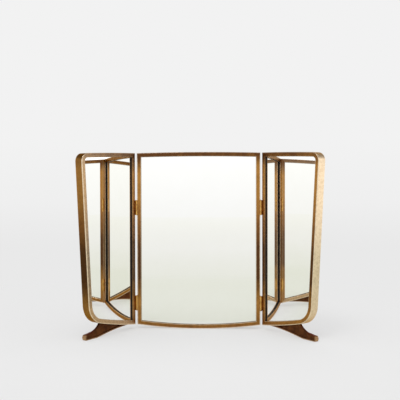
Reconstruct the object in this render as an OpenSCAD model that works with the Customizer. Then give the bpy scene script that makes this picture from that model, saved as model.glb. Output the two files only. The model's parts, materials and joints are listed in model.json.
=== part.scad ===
// Folding three-panel dressing table mirror.
// Each panel is drawn flat, facing -Y, with its outline in the XZ plane and
// its front face at y = 0. One bow runs along the bottom of all three panels
// and one crown along the top. The wings then turn forward about their hinges.
// The origin is on the table, under the middle of the centre panel.

/* [Centre panel] */
// Width of the centre panel
centre_w = 420; // [340:5:500]
// Height of the centre panel's upper corners above the table
corner_h = 600; // [520:5:720]
// Rise of the top rail's middle above the upper corners
crown = 3; // [2:0.5:6]
// Radius of the bow along the bottom of the three panels
bow_r = 1600; // [1400:20:2000]
// Depth of the flat that the bow stands on
land_depth = 0.5; // [0.3:0.1:1]

/* [Wings] */
// Width of a wing along its top
wing_w = 256; // [220:2:290]
// How far a wing's outer edge leans in between top and table
wing_slant = 38; // [0:1:48]
// Radius of a wing's upper outer corner
top_corner_r = 27; // [25:1:40]
// Radius of a wing's lower outer corner
bottom_corner_r = 68; // [40:1:90]
// Angle that the left wing is folded forward
left_fold = 56.5; // [20:0.5:80]
// Angle that the right wing is folded forward
right_fold = 52; // [20:0.5:80]

/* [Frame bars] */
// Width of a bar's front face
face_w = 14; // [11:0.5:18]
// Depth of a bar from front to back
frame_d = 29; // [28:0.5:36]
// Thickness of the bar's metal
bar_t = 2.2; // [1.6:0.1:3]
// How far the mitres pass outside the sharp corners
mitre_lap = 0.3; // [0.2:0.1:0.6]

/* [Filling] */
// Depth of the black slip between the front face and the glass
slip_t = 4.4; // [3:0.2:6]
// Thickness of the mirror glass
glass_t = 5; // [3:0.5:6]
// Thickness of the timber backboard
board_t = 7; // [5:0.5:9]
// How far the backboard lies below the back edge of the bars
board_recess = 1; // [0.5:0.5:3]
// Width of the timber packing behind the glass
packing_w = 20; // [16:1:22]
// Clearance between the metal and what lies inside it
fill_gap = 0.5; // [0.3:0.1:0.8]

/* [Back screws] */
// Radius of a back screw's shank
back_shank_r = 1.5; // [1.2:0.1:2]
// Radius of a back screw's domed head
back_head_r = 3.4; // [2.8:0.1:4]
// Height of a back screw's domed head
back_head_h = 1.6; // [1:0.1:2]
// How deep a back screw bites into the packing
back_bite = 6; // [4:0.5:7]
// Back screws along each side of the centre panel
centre_back_count = 4; // [3:1:6]
// Back screws along each side of a wing
wing_back_count = 3; // [2:1:5]
// Clearance round every screw shank
screw_gap = 0.05; // [0.03:0.01:0.1]
// Room left in the timber beyond a screw's end
screw_end_gap = 1; // [0.5:0.1:2]

/* [Hinges] */
// Length of a hinge
hinge_len = 50; // [38:1:64]
// Height of the upper hinges' middle above the table
upper_hinge_h = 414; // [360:2:440]
// Height of the lower hinges' middle above the table
lower_hinge_h = 88; // [80:2:140]
// Thickness of a hinge leaf
leaf_t = 1; // [0.8:0.1:1.6]
// Clearance between the two closed leaves
leaf_gap = 0.4; // [0.3:0.1:0.8]
// Depth of a leaf behind the front face
leaf_d = 20; // [16:1:24]
// Outer radius of a knuckle
knuckle_r = 3.3; // [3:0.1:4]
// How far the knuckles stand clear of the front faces
knuckle_proud = 1.2; // [0.8:0.1:2]
// Clearance between neighbouring knuckles
knuckle_gap = 0.3; // [0.2:0.05:0.5]
// Radius of a hinge pin
pin_r = 1.6; // [1.3:0.1:2]
// Radial clearance of the pin in the moving leaf
pin_gap = 0.05; // [0.02:0.01:0.1]
// Radius of the pin's button heads
pin_head_r = 2.5; // [2:0.1:3]
// Height of the pin's button heads
pin_head_h = 1; // [0.6:0.1:1.5]
// Radius of a hinge screw's shank
hinge_shank_r = 1.2; // [1:0.1:1.5]
// Radius of a hinge screw's countersunk head
hinge_head_r = 2.4; // [2:0.1:3]
// Distance from one hinge screw to the next
hinge_screw_pitch = 17; // [12:0.5:18]
// Distance of the hinge screws behind the glass
hinge_screw_back = 3; // [2.6:0.1:4]
// How deep a hinge screw bites into the packing
hinge_bite = 6; // [4:0.5:8]

/* [Feet] */
// Length of a foot from its feathered end to its toe
foot_len = 212; // [170:1:225]
// Length of the flat sole under the toe
sole_len = 54; // [30:1:70]
// How far the toe reaches beyond the line of the wing's outer edge
toe_reach = 16; // [0:1:24]
// Height of the toe
toe_h = 18; // [14:1:24]
// Radius of the toe's upper and lower corners
toe_corner_r = 6.5; // [4:0.5:7]
// Length of the sweep from the frame down to the toe's end
sweep_len = 73; // [56:1:84]
// Thickness of a foot at its rim and toe
foot_t = 15; // [12:0.5:17]
// Thickness of a foot's web
web_t = 9; // [8:0.5:11]
// Height of the rim along a foot's lower edge
rim_h = 6; // [4:0.5:8]
// Thickness of the flange that seats against the bar
flange_t = 3; // [2:0.5:4]
// Distance of a foot's middle plane behind the front face
foot_mid = 16; // [15.5:0.5:18]
// Radius of a foot screw's shank
foot_shank_r = 1.7; // [1.4:0.1:2]
// Radius of a foot screw's head
foot_head_r = 3; // [2.5:0.1:3.5]
// Height of a foot screw's head
foot_head_h = 2; // [1.5:0.1:3]
// Clearance round a foot screw's sunk head
foot_head_gap = 0.2; // [0.1:0.1:0.5]
// Distance of the inner foot screw from the toe
inner_screw_reach = 145; // [130:1:160]
// Distance of the outer foot screw from the toe
outer_screw_reach = 86; // [84:1:100]
// Metal of the foot under a foot screw's head
foot_grip = 5; // [4:0.5:7]
// How deep a foot screw reaches into the packing
foot_bite = 7; // [5:0.5:9]

/* [Hidden] */
SIDES = ["left", "right"];

$fn = 48;
// The bow and the crown are large circles and need many sides when drawn.
arc_fn = 1440;
// Steps along the bow, the lower corner, the upper corner and the crown of a wing
wing_steps = [14, 24, 18, 8];
// Steps along a foot's ogee, lower toe, upper toe and sweep
foot_steps = [16, 7, 6, 12];
bronze = "#8f6238";
bronze_cast = "#4a2f1c";
hinge_brass = "#a37a3c";
black_paint = "#16100c";
timber = "#6b4228";
silvered = "#d8dee0";
past = 5;

half_w = centre_w / 2;
bow_c = bow_r - land_depth;
top_r = (half_w * half_w + crown * crown) / (2 * crown);
top_c = corner_h + crown - top_r;

// The hinge axis stands proud of the front faces, between the two leaves.
axis_x = half_w + leaf_t + leaf_gap / 2;
axis_y = -(knuckle_r + knuckle_proud);
wing_s = half_w + 2 * leaf_t + leaf_gap;
outer_s = wing_s + wing_w;
toe_s = outer_s - wing_slant + toe_reach;

// Depths of the layers behind the front face
glass_y = bar_t + slip_t;
packing_y = glass_y + glass_t;
board_y = frame_d - board_recess - board_t;
packing_t = board_y - packing_y;
fill_inset = bar_t + fill_gap;
packing_inset = fill_inset + packing_w;
back_screw_inset = fill_inset + packing_w / 2;

// Height of the bow and of the crown at a distance s from the middle
function bow_z(s) = bow_c - sqrt(bow_r * bow_r - s * s);
function top_z(s) = top_c + sqrt(top_r * top_r - s * s);

// The outer edge of a wing leans in: its outward normal and upward direction
slant = atan(wing_slant / corner_h);
edge_n = [cos(slant), -sin(slant)];
edge_up = [sin(slant), cos(slant)];
edge_p = [outer_s, corner_h];

// Distance from a point, along a direction, to where a circle about the
// origin is met from inside
function reach(q, dir, r) = -q * dir + sqrt(pow(q * dir, 2) - q * q + r * r);

// Centre of a corner's round, tangent to the outer edge and to a circle
function round_centre(r, circle_r, circle_z, dir) =
    let (start = edge_p - r * edge_n)
    start + reach(start - [0, circle_z], dir, circle_r - r) * dir;
low_c = round_centre(bottom_corner_r, bow_r, bow_c, -edge_up);
high_c = round_centre(top_corner_r, top_r, top_c, edge_up);
low_a = atan2(low_c[1] - bow_c, low_c[0]);
high_a = atan2(high_c[1] - top_c, high_c[0]);

// Points on a cubic curve with four control points
function cubic(p, t) =
    pow(1 - t, 3) * p[0] + 3 * pow(1 - t, 2) * t * p[1]
    + 3 * (1 - t) * t * t * p[2] + t * t * t * p[3];
// Points along a curve or round an arc, after the first one
function curve(p, n) = [for (i = [1:n]) cubic(p, i / n)];
function arc(c, r, from, to, n) =
    [for (i = [1:n]) let (a = from + (to - from) * i / n) c + r * [cos(a), sin(a)]];

// A flat outline becomes a layer that starts at depth y
module layer(y, t) {
    translate([0, y + t, 0])
        rotate([90, 0, 0])
            linear_extrude(t) children();
}

// Everything stands with the middle of the centre panel's depth at y = 0
module stand() {
    translate([0, -frame_d / 2, 0]) children();
}

module mirrored(side) {
    mirror([side == "left" ? 1 : 0, 0, 0]) children();
}

// A wing drawn flat on the right is turned forward about its hinge axis
module folded(side) {
    fold = side == "left" ? left_fold : right_fold;
    stand()
        mirrored(side)
            translate([axis_x, axis_y, 0])
                rotate([0, 0, -fold])
                    translate([-axis_x, -axis_y, 0]) children();
}

module bow_and_crown(inset) {
    intersection() {
        translate([0, bow_c]) circle(r = bow_r - inset, $fn = arc_fn);
        translate([0, top_c]) circle(r = top_r - inset, $fn = arc_fn);
    }
}

module centre_outline(inset) {
    intersection() {
        translate([-half_w + inset, 0])
            square([centre_w - 2 * inset, corner_h + crown + past]);
        bow_and_crown(inset);
    }
}

// A wing's outline: along the bow, round the lower corner, up the outer edge,
// round the upper corner and back along the crown to the hinge edge
module wing_outline(inset) {
    bow_start = -acos((wing_s + inset) / (bow_r - inset));
    crown_end = acos((wing_s + inset) / (top_r - inset));
    polygon(concat(
        [[wing_s + inset, bow_c - sqrt(pow(bow_r - inset, 2) - pow(wing_s + inset, 2))]],
        arc([0, bow_c], bow_r - inset, bow_start, low_a, wing_steps[0]),
        arc(low_c, bottom_corner_r - inset, low_a, -slant, wing_steps[1]),
        arc(high_c, top_corner_r - inset, -slant, high_a, wing_steps[2]),
        arc([0, top_c], top_r - inset, high_a, crown_end, wing_steps[3])
    ));
}

// A ring of L-shaped bar: a front face, and a wall that runs to the back
module centre_ring() {
    difference() {
        layer(0, frame_d) centre_outline(0);
        layer(bar_t, frame_d) centre_outline(bar_t);
        layer(-past, frame_d) centre_outline(face_w);
    }
}

module wing_ring() {
    difference() {
        layer(0, frame_d) wing_outline(0);
        layer(bar_t, frame_d) wing_outline(bar_t);
        layer(-past, frame_d) wing_outline(face_w);
    }
}

// Mitre cuts at 45 degrees, which leave the sharp corners to the upright at x = s
module upright_zone(s, dir) {
    reach_in = 2 * face_w;
    high = top_z(s) + mitre_lap;
    low = bow_z(s) - mitre_lap;
    layer(-past, frame_d + 2 * past)
        polygon([
            [s - dir * past, high + past],
            [s + dir * reach_in, high - reach_in],
            [s + dir * reach_in, low + reach_in],
            [s - dir * past, low - past]
        ]);
}

// Screws in the side of an upright, at these heights about a hinge's middle
hinge_screw_z = [-hinge_screw_pitch, 0, hinge_screw_pitch];
hinge_heights = [upper_hinge_h, lower_hinge_h];
hinge_screw_y = packing_y + hinge_screw_back;

module hinge_screw_holes(x) {
    for (h = hinge_heights)
        for (z = hinge_screw_z)
            translate([x - past, hinge_screw_y, h + z])
                rotate([0, 90, 0])
                    cylinder(r = hinge_shank_r + screw_gap, h = 2 * past);
}

module centre_stile(side) {
    color(bronze)
        stand()
            mirrored(side)
                difference() {
                    intersection() {
                        centre_ring();
                        upright_zone(half_w, -1);
                    }
                    hinge_screw_holes(half_w - bar_t / 2);
                }
}

// Two rails are what the ring leaves between its uprights
module centre_rail(top) {
    color(bronze)
        stand()
            difference() {
                intersection() {
                    centre_ring();
                    translate([-half_w - past, -past, top ? corner_h / 2 : -past])
                        cube([centre_w + 2 * past, frame_d + 2 * past, corner_h / 2 + 2 * past]);
                }
                upright_zone(half_w, -1);
                mirrored("left") upright_zone(half_w, -1);
            }
}

module hinge_stile(side) {
    color(bronze)
        folded(side)
            difference() {
                intersection() {
                    wing_ring();
                    upright_zone(wing_s, 1);
                }
                hinge_screw_holes(wing_s + bar_t / 2);
            }
}

// One bar is bent round the top, the outer edge and the bottom of a wing
module bow_bar(side) {
    color(bronze)
        folded(side)
            difference() {
                wing_ring();
                upright_zone(wing_s, 1);
                foot_screw_holes(foot_shank_r + screw_gap);
            }
}

module centre_fill(y, t, inset) {
    layer(y, t) centre_outline(inset);
}

module wing_fill(y, t, inset) {
    layer(y, t) wing_outline(inset);
}

module centre_slip() {
    color(black_paint)
        stand()
            difference() {
                centre_fill(bar_t, slip_t, fill_inset);
                centre_fill(bar_t - past, slip_t + 2 * past, face_w);
            }
}

module wing_slip(side) {
    color(black_paint)
        folded(side)
            difference() {
                wing_fill(bar_t, slip_t, fill_inset);
                wing_fill(bar_t - past, slip_t + 2 * past, face_w);
            }
}

module centre_mirror() {
    color(silvered) stand() centre_fill(glass_y, glass_t, fill_inset);
}

module wing_mirror(side) {
    color(silvered) folded(side) wing_fill(glass_y, glass_t, fill_inset);
}

// Places of the back screws, along the middle of the packing
function centre_screw_places() =
    let (x = half_w - back_screw_inset,
         low = bow_z(x) + back_screw_inset,
         high = top_z(x) - back_screw_inset)
    [for (i = [-1, 1]) for (k = [0:centre_back_count - 1])
        [i * x, low + (high - low) * k / (centre_back_count - 1)]];
function wing_screw_places() =
    let (low = bow_z(wing_s) + 2 * back_screw_inset,
         high = top_z(wing_s) - 2 * back_screw_inset)
    [for (k = [0:wing_back_count - 1])
        let (z = low + (high - low) * k / (wing_back_count - 1)) [wing_s + back_screw_inset, z],
     for (k = [0:wing_back_count - 1])
        let (z = low_c[1] + (high_c[1] - low_c[1]) * k / (wing_back_count - 1))
        [edge_p[0] - (corner_h - z) * tan(slant) - back_screw_inset / cos(slant), z]];

module back_screw_holes(places) {
    for (p = places)
        translate([p[0], board_y - back_bite, p[1]])
            rotate([-90, 0, 0])
                cylinder(r = back_shank_r + screw_gap, h = back_bite + board_t + past);
}

module back_screw_set(places) {
    dome_r = (back_head_r * back_head_r + back_head_h * back_head_h) / (2 * back_head_h);
    for (p = places)
        translate([p[0], board_y + board_t, p[1]]) {
            rotate([-90, 0, 0])
                intersection() {
                    cylinder(r = back_head_r, h = back_head_h + past);
                    translate([0, 0, back_head_h - dome_r]) sphere(r = dome_r);
                }
            translate([0, -board_t - back_bite, 0])
                rotate([-90, 0, 0])
                    cylinder(r = back_shank_r, h = board_t + back_bite);
        }
}

module centre_packing() {
    color(timber)
        stand()
            difference() {
                centre_fill(packing_y, packing_t, fill_inset);
                centre_fill(packing_y - past, packing_t + 2 * past, packing_inset);
                back_screw_holes(centre_screw_places());
                upright_screw_room(half_w, -1);
                mirrored("left") upright_screw_room(half_w, -1);
            }
}

module wing_packing(side) {
    color(timber)
        folded(side)
            difference() {
                wing_fill(packing_y, packing_t, fill_inset);
                wing_fill(packing_y - past, packing_t + 2 * past, packing_inset);
                back_screw_holes(wing_screw_places());
                foot_screw_holes(foot_shank_r + screw_gap);
                upright_screw_room(wing_s, 1);
            }
}

module centre_backboard() {
    color(timber)
        stand()
            difference() {
                centre_fill(board_y, board_t, fill_inset);
                back_screw_holes(centre_screw_places());
            }
}

module wing_backboard(side) {
    color(timber)
        folded(side)
            difference() {
                wing_fill(board_y, board_t, fill_inset);
                back_screw_holes(wing_screw_places());
            }
}

module centre_back_screws() {
    color(hinge_brass) stand() back_screw_set(centre_screw_places());
}

module wing_back_screws(side) {
    color(hinge_brass) folded(side) back_screw_set(wing_screw_places());
}

// Hinge screws pass through the metal and bite into the packing
hinge_screw_len = leaf_t + bar_t + fill_gap + hinge_bite;

module upright_screw_room(s, dir) {
    for (h = hinge_heights)
        for (z = hinge_screw_z)
            translate([s, hinge_screw_y, h + z])
                rotate([0, dir * 90, 0])
                    cylinder(r = hinge_shank_r + screw_gap, h = hinge_screw_len + screw_end_gap);
}

// Countersunk screws, heads flush with the leaf, driven from face x towards dir
module hinge_screw_row(x, dir) {
    for (h = hinge_heights)
        for (z = hinge_screw_z)
            translate([x, hinge_screw_y, h + z])
                rotate([0, dir * 90, 0]) {
                    cylinder(r1 = hinge_head_r, r2 = hinge_shank_r, h = leaf_t);
                    cylinder(r = hinge_shank_r, h = hinge_screw_len);
                }
}

module centre_leaf_screws(side) {
    color(hinge_brass)
        stand()
            mirrored(side) hinge_screw_row(half_w + leaf_t, -1);
}

module wing_leaf_screws(side) {
    color(hinge_brass) folded(side) hinge_screw_row(wing_s - leaf_t, 1);
}

// Knuckle spans along the hinge, counted from its lower end
third = (hinge_len - 2 * knuckle_gap) / 3;
outer_spans = [[0, third], [hinge_len - third, hinge_len]];
middle_span = [[third + knuckle_gap, hinge_len - third - knuckle_gap]];

// A leaf: its plate lies on the upright, and is cut away round the other
// leaf's knuckles
module leaf(x, dir, h, own, other) {
    difference() {
        union() {
            translate([x, axis_y, h - hinge_len / 2])
                cube([leaf_t, leaf_d - axis_y, hinge_len]);
            for (span = own)
                translate([axis_x, axis_y, h - hinge_len / 2 + span[0]])
                    cylinder(r = knuckle_r, h = span[1] - span[0]);
        }
        for (span = other)
            translate([axis_x, axis_y, h - hinge_len / 2 + span[0] - knuckle_gap])
                cylinder(r = knuckle_r + knuckle_gap, h = span[1] - span[0] + 2 * knuckle_gap);
        translate([axis_x, axis_y, h - hinge_len / 2 - past])
            cylinder(r = pin_r + pin_gap, h = hinge_len + 2 * past);
        for (z = hinge_screw_z)
            translate([dir < 0 ? x + leaf_t : x, hinge_screw_y, h + z])
                rotate([0, dir * 90, 0]) {
                    cylinder(r1 = hinge_head_r, r2 = hinge_shank_r, h = leaf_t);
                    translate([0, 0, -past])
                        cylinder(r = hinge_shank_r + screw_gap, h = leaf_t + 2 * past);
                }
    }
}

module centre_leaf(side, h) {
    color(hinge_brass)
        stand()
            mirrored(side)
                leaf(half_w, -1, h, outer_spans, middle_span);
}

module wing_leaf(side, h) {
    color(hinge_brass)
        folded(side)
            leaf(wing_s - leaf_t, 1, h, middle_span, outer_spans);
}

module hinge_pin(side, h) {
    color(hinge_brass)
        stand()
            mirrored(side)
                translate([axis_x, axis_y, h - hinge_len / 2]) {
                    cylinder(r = pin_r, h = hinge_len);
                    for (z = [-pin_head_h, hinge_len])
                        translate([0, 0, z]) cylinder(r = pin_head_r, h = pin_head_h);
                }
}

// Foot screws stand upright in the foot, on its middle plane
foot_screw_s = [toe_s - inner_screw_reach, toe_s - outer_screw_reach];

module foot_screw_holes(r) {
    for (s = foot_screw_s)
        translate([s, foot_mid, bow_z(s) - foot_grip - past])
            cylinder(r = r, h = foot_grip + bar_t + fill_gap + foot_bite + past);
}

// Outline of a foot: a feathered end, an ogee down to the sole, a round toe
// and a hollow sweep back up to the bar
foot_start = toe_s - foot_len;
sole_s = toe_s - sole_len;
sweep_s = toe_s - sweep_len;
rim_end_s = sole_s + sole_len / 3;
// Each curve's control points lie at these shares of the foot, the toe or the sweep
ogee_along = [0.36, 0.5];
ogee_up = 0.42;
sweep_along = [0.4, 0.78];
sweep_up = [1.05, 1.3];
ogee = curve([
    [foot_start, bow_z(foot_start)],
    [foot_start + ogee_along[0] * foot_len, bow_z(foot_start) - rim_h / 3],
    [foot_start + ogee_along[1] * foot_len, ogee_up * toe_h],
    [sole_s, 0]
], foot_steps[0]);
// The toe's rounds start a little before the sole's end and stop short of the top
toe_low = arc([toe_s - toe_corner_r, toe_corner_r], toe_corner_r, -105, 0, foot_steps[1]);
toe_high = arc([toe_s - toe_corner_r, toe_h - toe_corner_r], toe_corner_r, -16, 80, foot_steps[2]);
sweep = curve([
    toe_high[len(toe_high) - 1],
    [toe_s - sweep_along[0] * sweep_len, sweep_up[0] * toe_h],
    [toe_s - sweep_along[1] * sweep_len, sweep_up[1] * toe_h],
    [sweep_s, bow_z(sweep_s) + past]
], foot_steps[3]);

// The outline is carried a little above the bow and then cut to it
module foot_outline() {
    difference() {
        polygon(concat(
            [[foot_start, bow_z(foot_start)]],
            ogee, toe_low, toe_high, sweep,
            [[foot_start, bow_z(sweep_s) + past]]
        ));
        translate([0, bow_c]) circle(r = bow_r, $fn = arc_fn);
    }
}

module foot(side) {
    color(bronze_cast)
        folded(side)
            difference() {
                union() {
                    layer(foot_mid - web_t / 2, web_t) foot_outline();
                    layer(foot_mid - foot_t / 2, foot_t) {
                        // rim along the lower edge
                        difference() {
                            foot_outline();
                            polygon(concat(
                                [for (p = ogee) p + [0, rim_h]],
                                [[rim_end_s, rim_h], [rim_end_s, corner_h], [foot_start, corner_h]]
                            ));
                        }
                        // flange under the bar
                        difference() {
                            foot_outline();
                            translate([0, bow_c])
                                circle(r = bow_r + flange_t, $fn = arc_fn);
                        }
                    }
                }
                foot_screw_holes(foot_shank_r + screw_gap);
                for (s = foot_screw_s)
                    translate([s, foot_mid, -past])
                        cylinder(r = foot_head_r + foot_head_gap, h = bow_z(s) - foot_grip + past);
            }
}

module foot_screws(side) {
    color(hinge_brass)
        folded(side)
            for (s = foot_screw_s)
                translate([s, foot_mid, bow_z(s) - foot_grip]) {
                    cylinder(r = foot_shank_r,
                             h = foot_grip + bar_t + fill_gap + foot_bite - screw_end_gap);
                    translate([0, 0, -foot_head_h]) cylinder(r = foot_head_r, h = foot_head_h);
                }
}

centre_rail(true);  // centre_top_rail
centre_rail(false);  // centre_bottom_rail
centre_stile("left");  // centre_left_stile
centre_stile("right");  // centre_right_stile
centre_slip();
centre_mirror();
centre_packing();
centre_backboard();
centre_back_screws();
for (side = SIDES) {
    hinge_stile(side);
    bow_bar(side);
    wing_slip(side);
    wing_mirror(side);
    wing_packing(side);
    wing_backboard(side);
    wing_back_screws(side);
    foot(side);
    foot_screws(side);
    centre_leaf(side, upper_hinge_h);
    wing_leaf(side, upper_hinge_h);
    hinge_pin(side, upper_hinge_h);
    centre_leaf(side, lower_hinge_h);
    wing_leaf(side, lower_hinge_h);
    hinge_pin(side, lower_hinge_h);
    centre_leaf_screws(side);
    wing_leaf_screws(side);
}
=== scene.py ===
"""Looks of a folding three-panel dressing table mirror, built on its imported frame.

Sizes in millimetres are worked out in the flat layout: s runs outwards from the
middle, y runs back from the front faces, z runs up. The wings are then folded
forward about their hinges, and everything is put into metres.
"""

import json
import math
from types import SimpleNamespace

import bmesh
import bpy
import numpy as np
from bpy.props import FloatProperty, FloatVectorProperty, PointerProperty
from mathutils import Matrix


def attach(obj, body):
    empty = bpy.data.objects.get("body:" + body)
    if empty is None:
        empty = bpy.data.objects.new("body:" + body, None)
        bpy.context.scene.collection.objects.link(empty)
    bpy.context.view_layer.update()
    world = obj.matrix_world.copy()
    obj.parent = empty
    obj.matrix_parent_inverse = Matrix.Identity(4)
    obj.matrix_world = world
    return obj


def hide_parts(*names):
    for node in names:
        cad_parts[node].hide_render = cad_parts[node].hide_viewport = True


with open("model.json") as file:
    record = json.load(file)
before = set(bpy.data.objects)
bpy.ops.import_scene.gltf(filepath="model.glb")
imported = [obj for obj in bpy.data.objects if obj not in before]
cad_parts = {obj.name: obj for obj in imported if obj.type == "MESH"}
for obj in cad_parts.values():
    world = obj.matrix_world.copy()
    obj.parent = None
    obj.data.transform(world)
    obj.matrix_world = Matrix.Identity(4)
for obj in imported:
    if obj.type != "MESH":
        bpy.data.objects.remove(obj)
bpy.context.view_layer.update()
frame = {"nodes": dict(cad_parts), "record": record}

bl_info = {
    "name": "Folding dressing table mirror",
    "version": (1, 0, 0),
    "blender": (4, 5, 0),
    "location": "View3D > Sidebar > Dressing Mirror",
    "description": "Builds the bars, feet and finishes of a three-panel dressing table mirror",
    "category": "Object",
}

BODIES = {"centre": "centre", "left": "left_wing", "right": "right_wing"}
MM = 0.001


def srgb(hex_colour):
    """A hex colour such as 8a5c34 as linear red, green, blue and an alpha of 1."""
    parts = [int(hex_colour[i:i + 2], 16) / 255 for i in (0, 2, 4)]
    return [c / 12.92 if c <= 0.04045 else ((c + 0.055) / 1.055) ** 2.4 for c in parts] + [1.0]


def a_length(name, description, millimetres):
    """A length property, written in millimetres and kept in metres."""
    return FloatProperty(name=name, description=description, default=millimetres * MM,
                         subtype="DISTANCE", precision=4)


def an_angle(name, description, degrees):
    """An angle property, written in degrees and kept in radians."""
    return FloatProperty(name=name, description=description, default=math.radians(degrees),
                         subtype="ANGLE")


def a_colour(name, description, hex_colour):
    """A colour property, written as sRGB hex and kept linear."""
    return FloatVectorProperty(name=name, description=description, default=srgb(hex_colour),
                               size=4, subtype="COLOR", min=0.0, max=1.0)


class MirrorSizes(bpy.types.PropertyGroup):
    """Sizes of the bars, panels, feet and screws."""

    half_w: a_length("Half width", "Half the centre panel's width", 210.0)
    corner_h: a_length("Corner height", "Height of the upper corners", 600.0)
    crown: a_length("Crown", "Rise of the top rail's middle", 2.96)
    bow_r: a_length("Bow radius", "Radius of the bow at the bottom", 1600.0)
    land_depth: a_length("Land depth", "Depth of the flat under the bow", 0.5)
    wing_w: a_length("Wing width", "Width of a wing at its top", 256.0)
    wing_slant: a_length("Wing slant", "Lean of a wing's outer edge over its height", 38.0)
    top_round: a_length("Upper round", "Radius of a wing's upper corner", 27.0)
    low_round: a_length("Lower round", "Radius of a wing's lower corner", 68.0)
    left_fold: an_angle("Left fold", "Fold of the left wing", 56.5)
    right_fold: an_angle("Right fold", "Fold of the right wing", 52.0)
    face_w: a_length("Face width", "Width of a bar's front face", 14.0)
    frame_d: a_length("Bar depth", "Depth of a bar", 29.0)
    bar_t: a_length("Bar metal", "Thickness of a bar's metal", 2.2)
    arris: a_length("Arris", "Radius of a bar's outer front edge", 1.6)
    hinge_gap: a_length("Hinge gap", "Gap between two open panels", 2.4)
    axis_proud: a_length("Axis proud", "Hinge axis before the front faces", 4.5)
    foot_len: a_length("Foot length", "Feathered end to toe", 212.0)
    sole_len: a_length("Sole", "Length of the flat sole", 54.0)
    toe_reach: a_length("Toe reach", "Toe beyond the outer edge's line", 16.0)
    toe_h: a_length("Toe height", "Height of the toe", 18.0)
    toe_corner: a_length("Toe corner", "Radius of the toe's corners", 6.5)
    sweep_len: a_length("Sweep", "Length of the hollow sweep over the toe", 73.0)
    foot_t: a_length("Foot thickness", "Thickness at the rim and toe", 15.0)
    web_t: a_length("Web", "Thickness of a foot's web", 9.0)
    rim_h: a_length("Rim", "Height of a foot's rim", 6.0)
    flange_t: a_length("Flange", "Thickness of a foot's flange", 3.0)
    foot_mid: a_length("Foot middle", "A foot's middle plane behind the faces", 16.0)
    screw_inset: a_length("Screw inset", "A back screw from the panel's edge", 12.7)
    screw_r: a_length("Screw radius", "Radius of a domed head", 3.4)
    screw_h: a_length("Screw height", "Height of a domed head", 1.6)
    slot_w: a_length("Slot width", "Width of a head's slot", 0.9)
    slot_depth: a_length("Slot depth", "Depth of a head's slot", 0.8)
    board_recess: a_length("Board recess", "Backboard before a bar's back", 1.0)


class MirrorFinish(bpy.types.PropertyGroup):
    """Colours of the finishes."""

    brass_light: a_colour("Brass light", "Worn brass", "b07d3c")
    # bare brass on rubbed edges, and the painted highlight on the wings' lit faces
    brass_bare_and_highlight: a_colour("Brass rubbed", "Bare edges and painted highlights", "f4dfc0")
    brass_mid: a_colour("Brass middle", "Lacquered brass", "8f5f2f")
    # the dark band a third of the way up: patina and painted shade
    brass_dark: a_colour("Brass dark", "Brown patina and painted shade", "5c3a1e")
    # the top bar's brown: patina and painted shade
    brass_top_patina_and_shade: a_colour("Brass brown", "Patina and painted shade of the top", "66401f")
    brass_edge: a_colour("Brass edge tint", "Brass seen at a low angle", "e6c08c")
    cast_dark: a_colour("Casting dark", "Dark cast bronze", "42220e")
    # the painted highlight on the feet's lower edges and toes
    cast_mid: a_colour("Casting middle", "Brown cast bronze", "6c4020")
    cast_highlight: a_colour("Casting light", "Painted highlight on the bronze", "d0a880")
    cast_edge: a_colour("Casting edge tint", "Bronze seen at a low angle", "d8a070")
    hinge_light: a_colour("Hinge brass", "Drawn hinge brass", "dfb062")
    slip_black: a_colour("Slip black", "Black painted slip", "140c07")
    slip_dusty: a_colour("Slip dusty", "Dust on the slip", "1e140c")
    board_dark: a_colour("Board dark", "Stained timber, dark streaks", "3d1f12")
    board_light: a_colour("Board light", "Stained timber, light streaks", "6e3d22")
    pine: a_colour("Packing timber", "Sawn softwood", "b08c5e")
    pine_dark: a_colour("Packing dark", "Late wood", "8f6c42")
    glass: a_colour("Mirror tint", "Tint of the silvered glass", "fefefc")
    glass_mist: a_colour("Mirror mist", "Aged silver", "fcfcf9")


class StudioSettings(bpy.types.PropertyGroup):
    """Camera and studio."""

    camera_at: FloatVectorProperty(
        name="Camera", description="Camera position", size=3,
        default=(0.03974, -2.16024, 0.4711), subtype="TRANSLATION", unit="LENGTH")
    camera_turn: FloatVectorProperty(
        name="Camera turn", description="Camera angles", size=3,
        default=[math.radians(degrees) for degrees in (89.0, 0.141, 2.6625)],
        subtype="EULER", unit="ROTATION")
    focal: FloatProperty(
        name="Focal length", description="Focal length in picture widths", default=1.5746)
    shift_x: FloatProperty(
        name="Shift X", description="Sideways camera shift in picture widths", default=0.0482)
    shift_y: FloatProperty(
        name="Shift Y", description="Upward camera shift in picture widths", default=0.0045)
    floor: a_colour("Floor", "Paper under the mirror", "e9e9e9")
    wall_low: a_colour("Wall low", "Backdrop near the floor", "e9e9e9")
    wall_mid: a_colour("Wall middle", "Backdrop a little up", "efefef")
    wall_high: a_colour("Wall high", "Backdrop higher up", "f2f2f2")
    glass_near: a_colour("In the glass, near", "Mirrored paper at half a metre", "dde0d1")
    glass_low: a_colour("In the glass, low", "Mirrored paper at 1.4 metres", "e9eae3")
    glass_mid: a_colour("In the glass, middle", "Mirrored paper at 2.9 metres", "f0f0ed")
    glass_high: a_colour("In the glass, high", "Mirrored paper at 6.6 metres", "f6f6f2")
    glass_far: a_colour("In the glass, far", "Mirrored paper at 8.5 metres", "f8f8f5")
    sky: a_colour("Sky", "Colour of the world's light", "ffffff")


def in_millimetres(sizes):
    """The sizes as plain numbers: lengths in millimetres, angles in radians."""
    return SimpleNamespace(**{
        key: getattr(sizes, key) / (MM if prop.unit == "LENGTH" else 1.0)
        for key, prop in sizes.bl_rna.properties.items() if prop.type == "FLOAT"})


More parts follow.
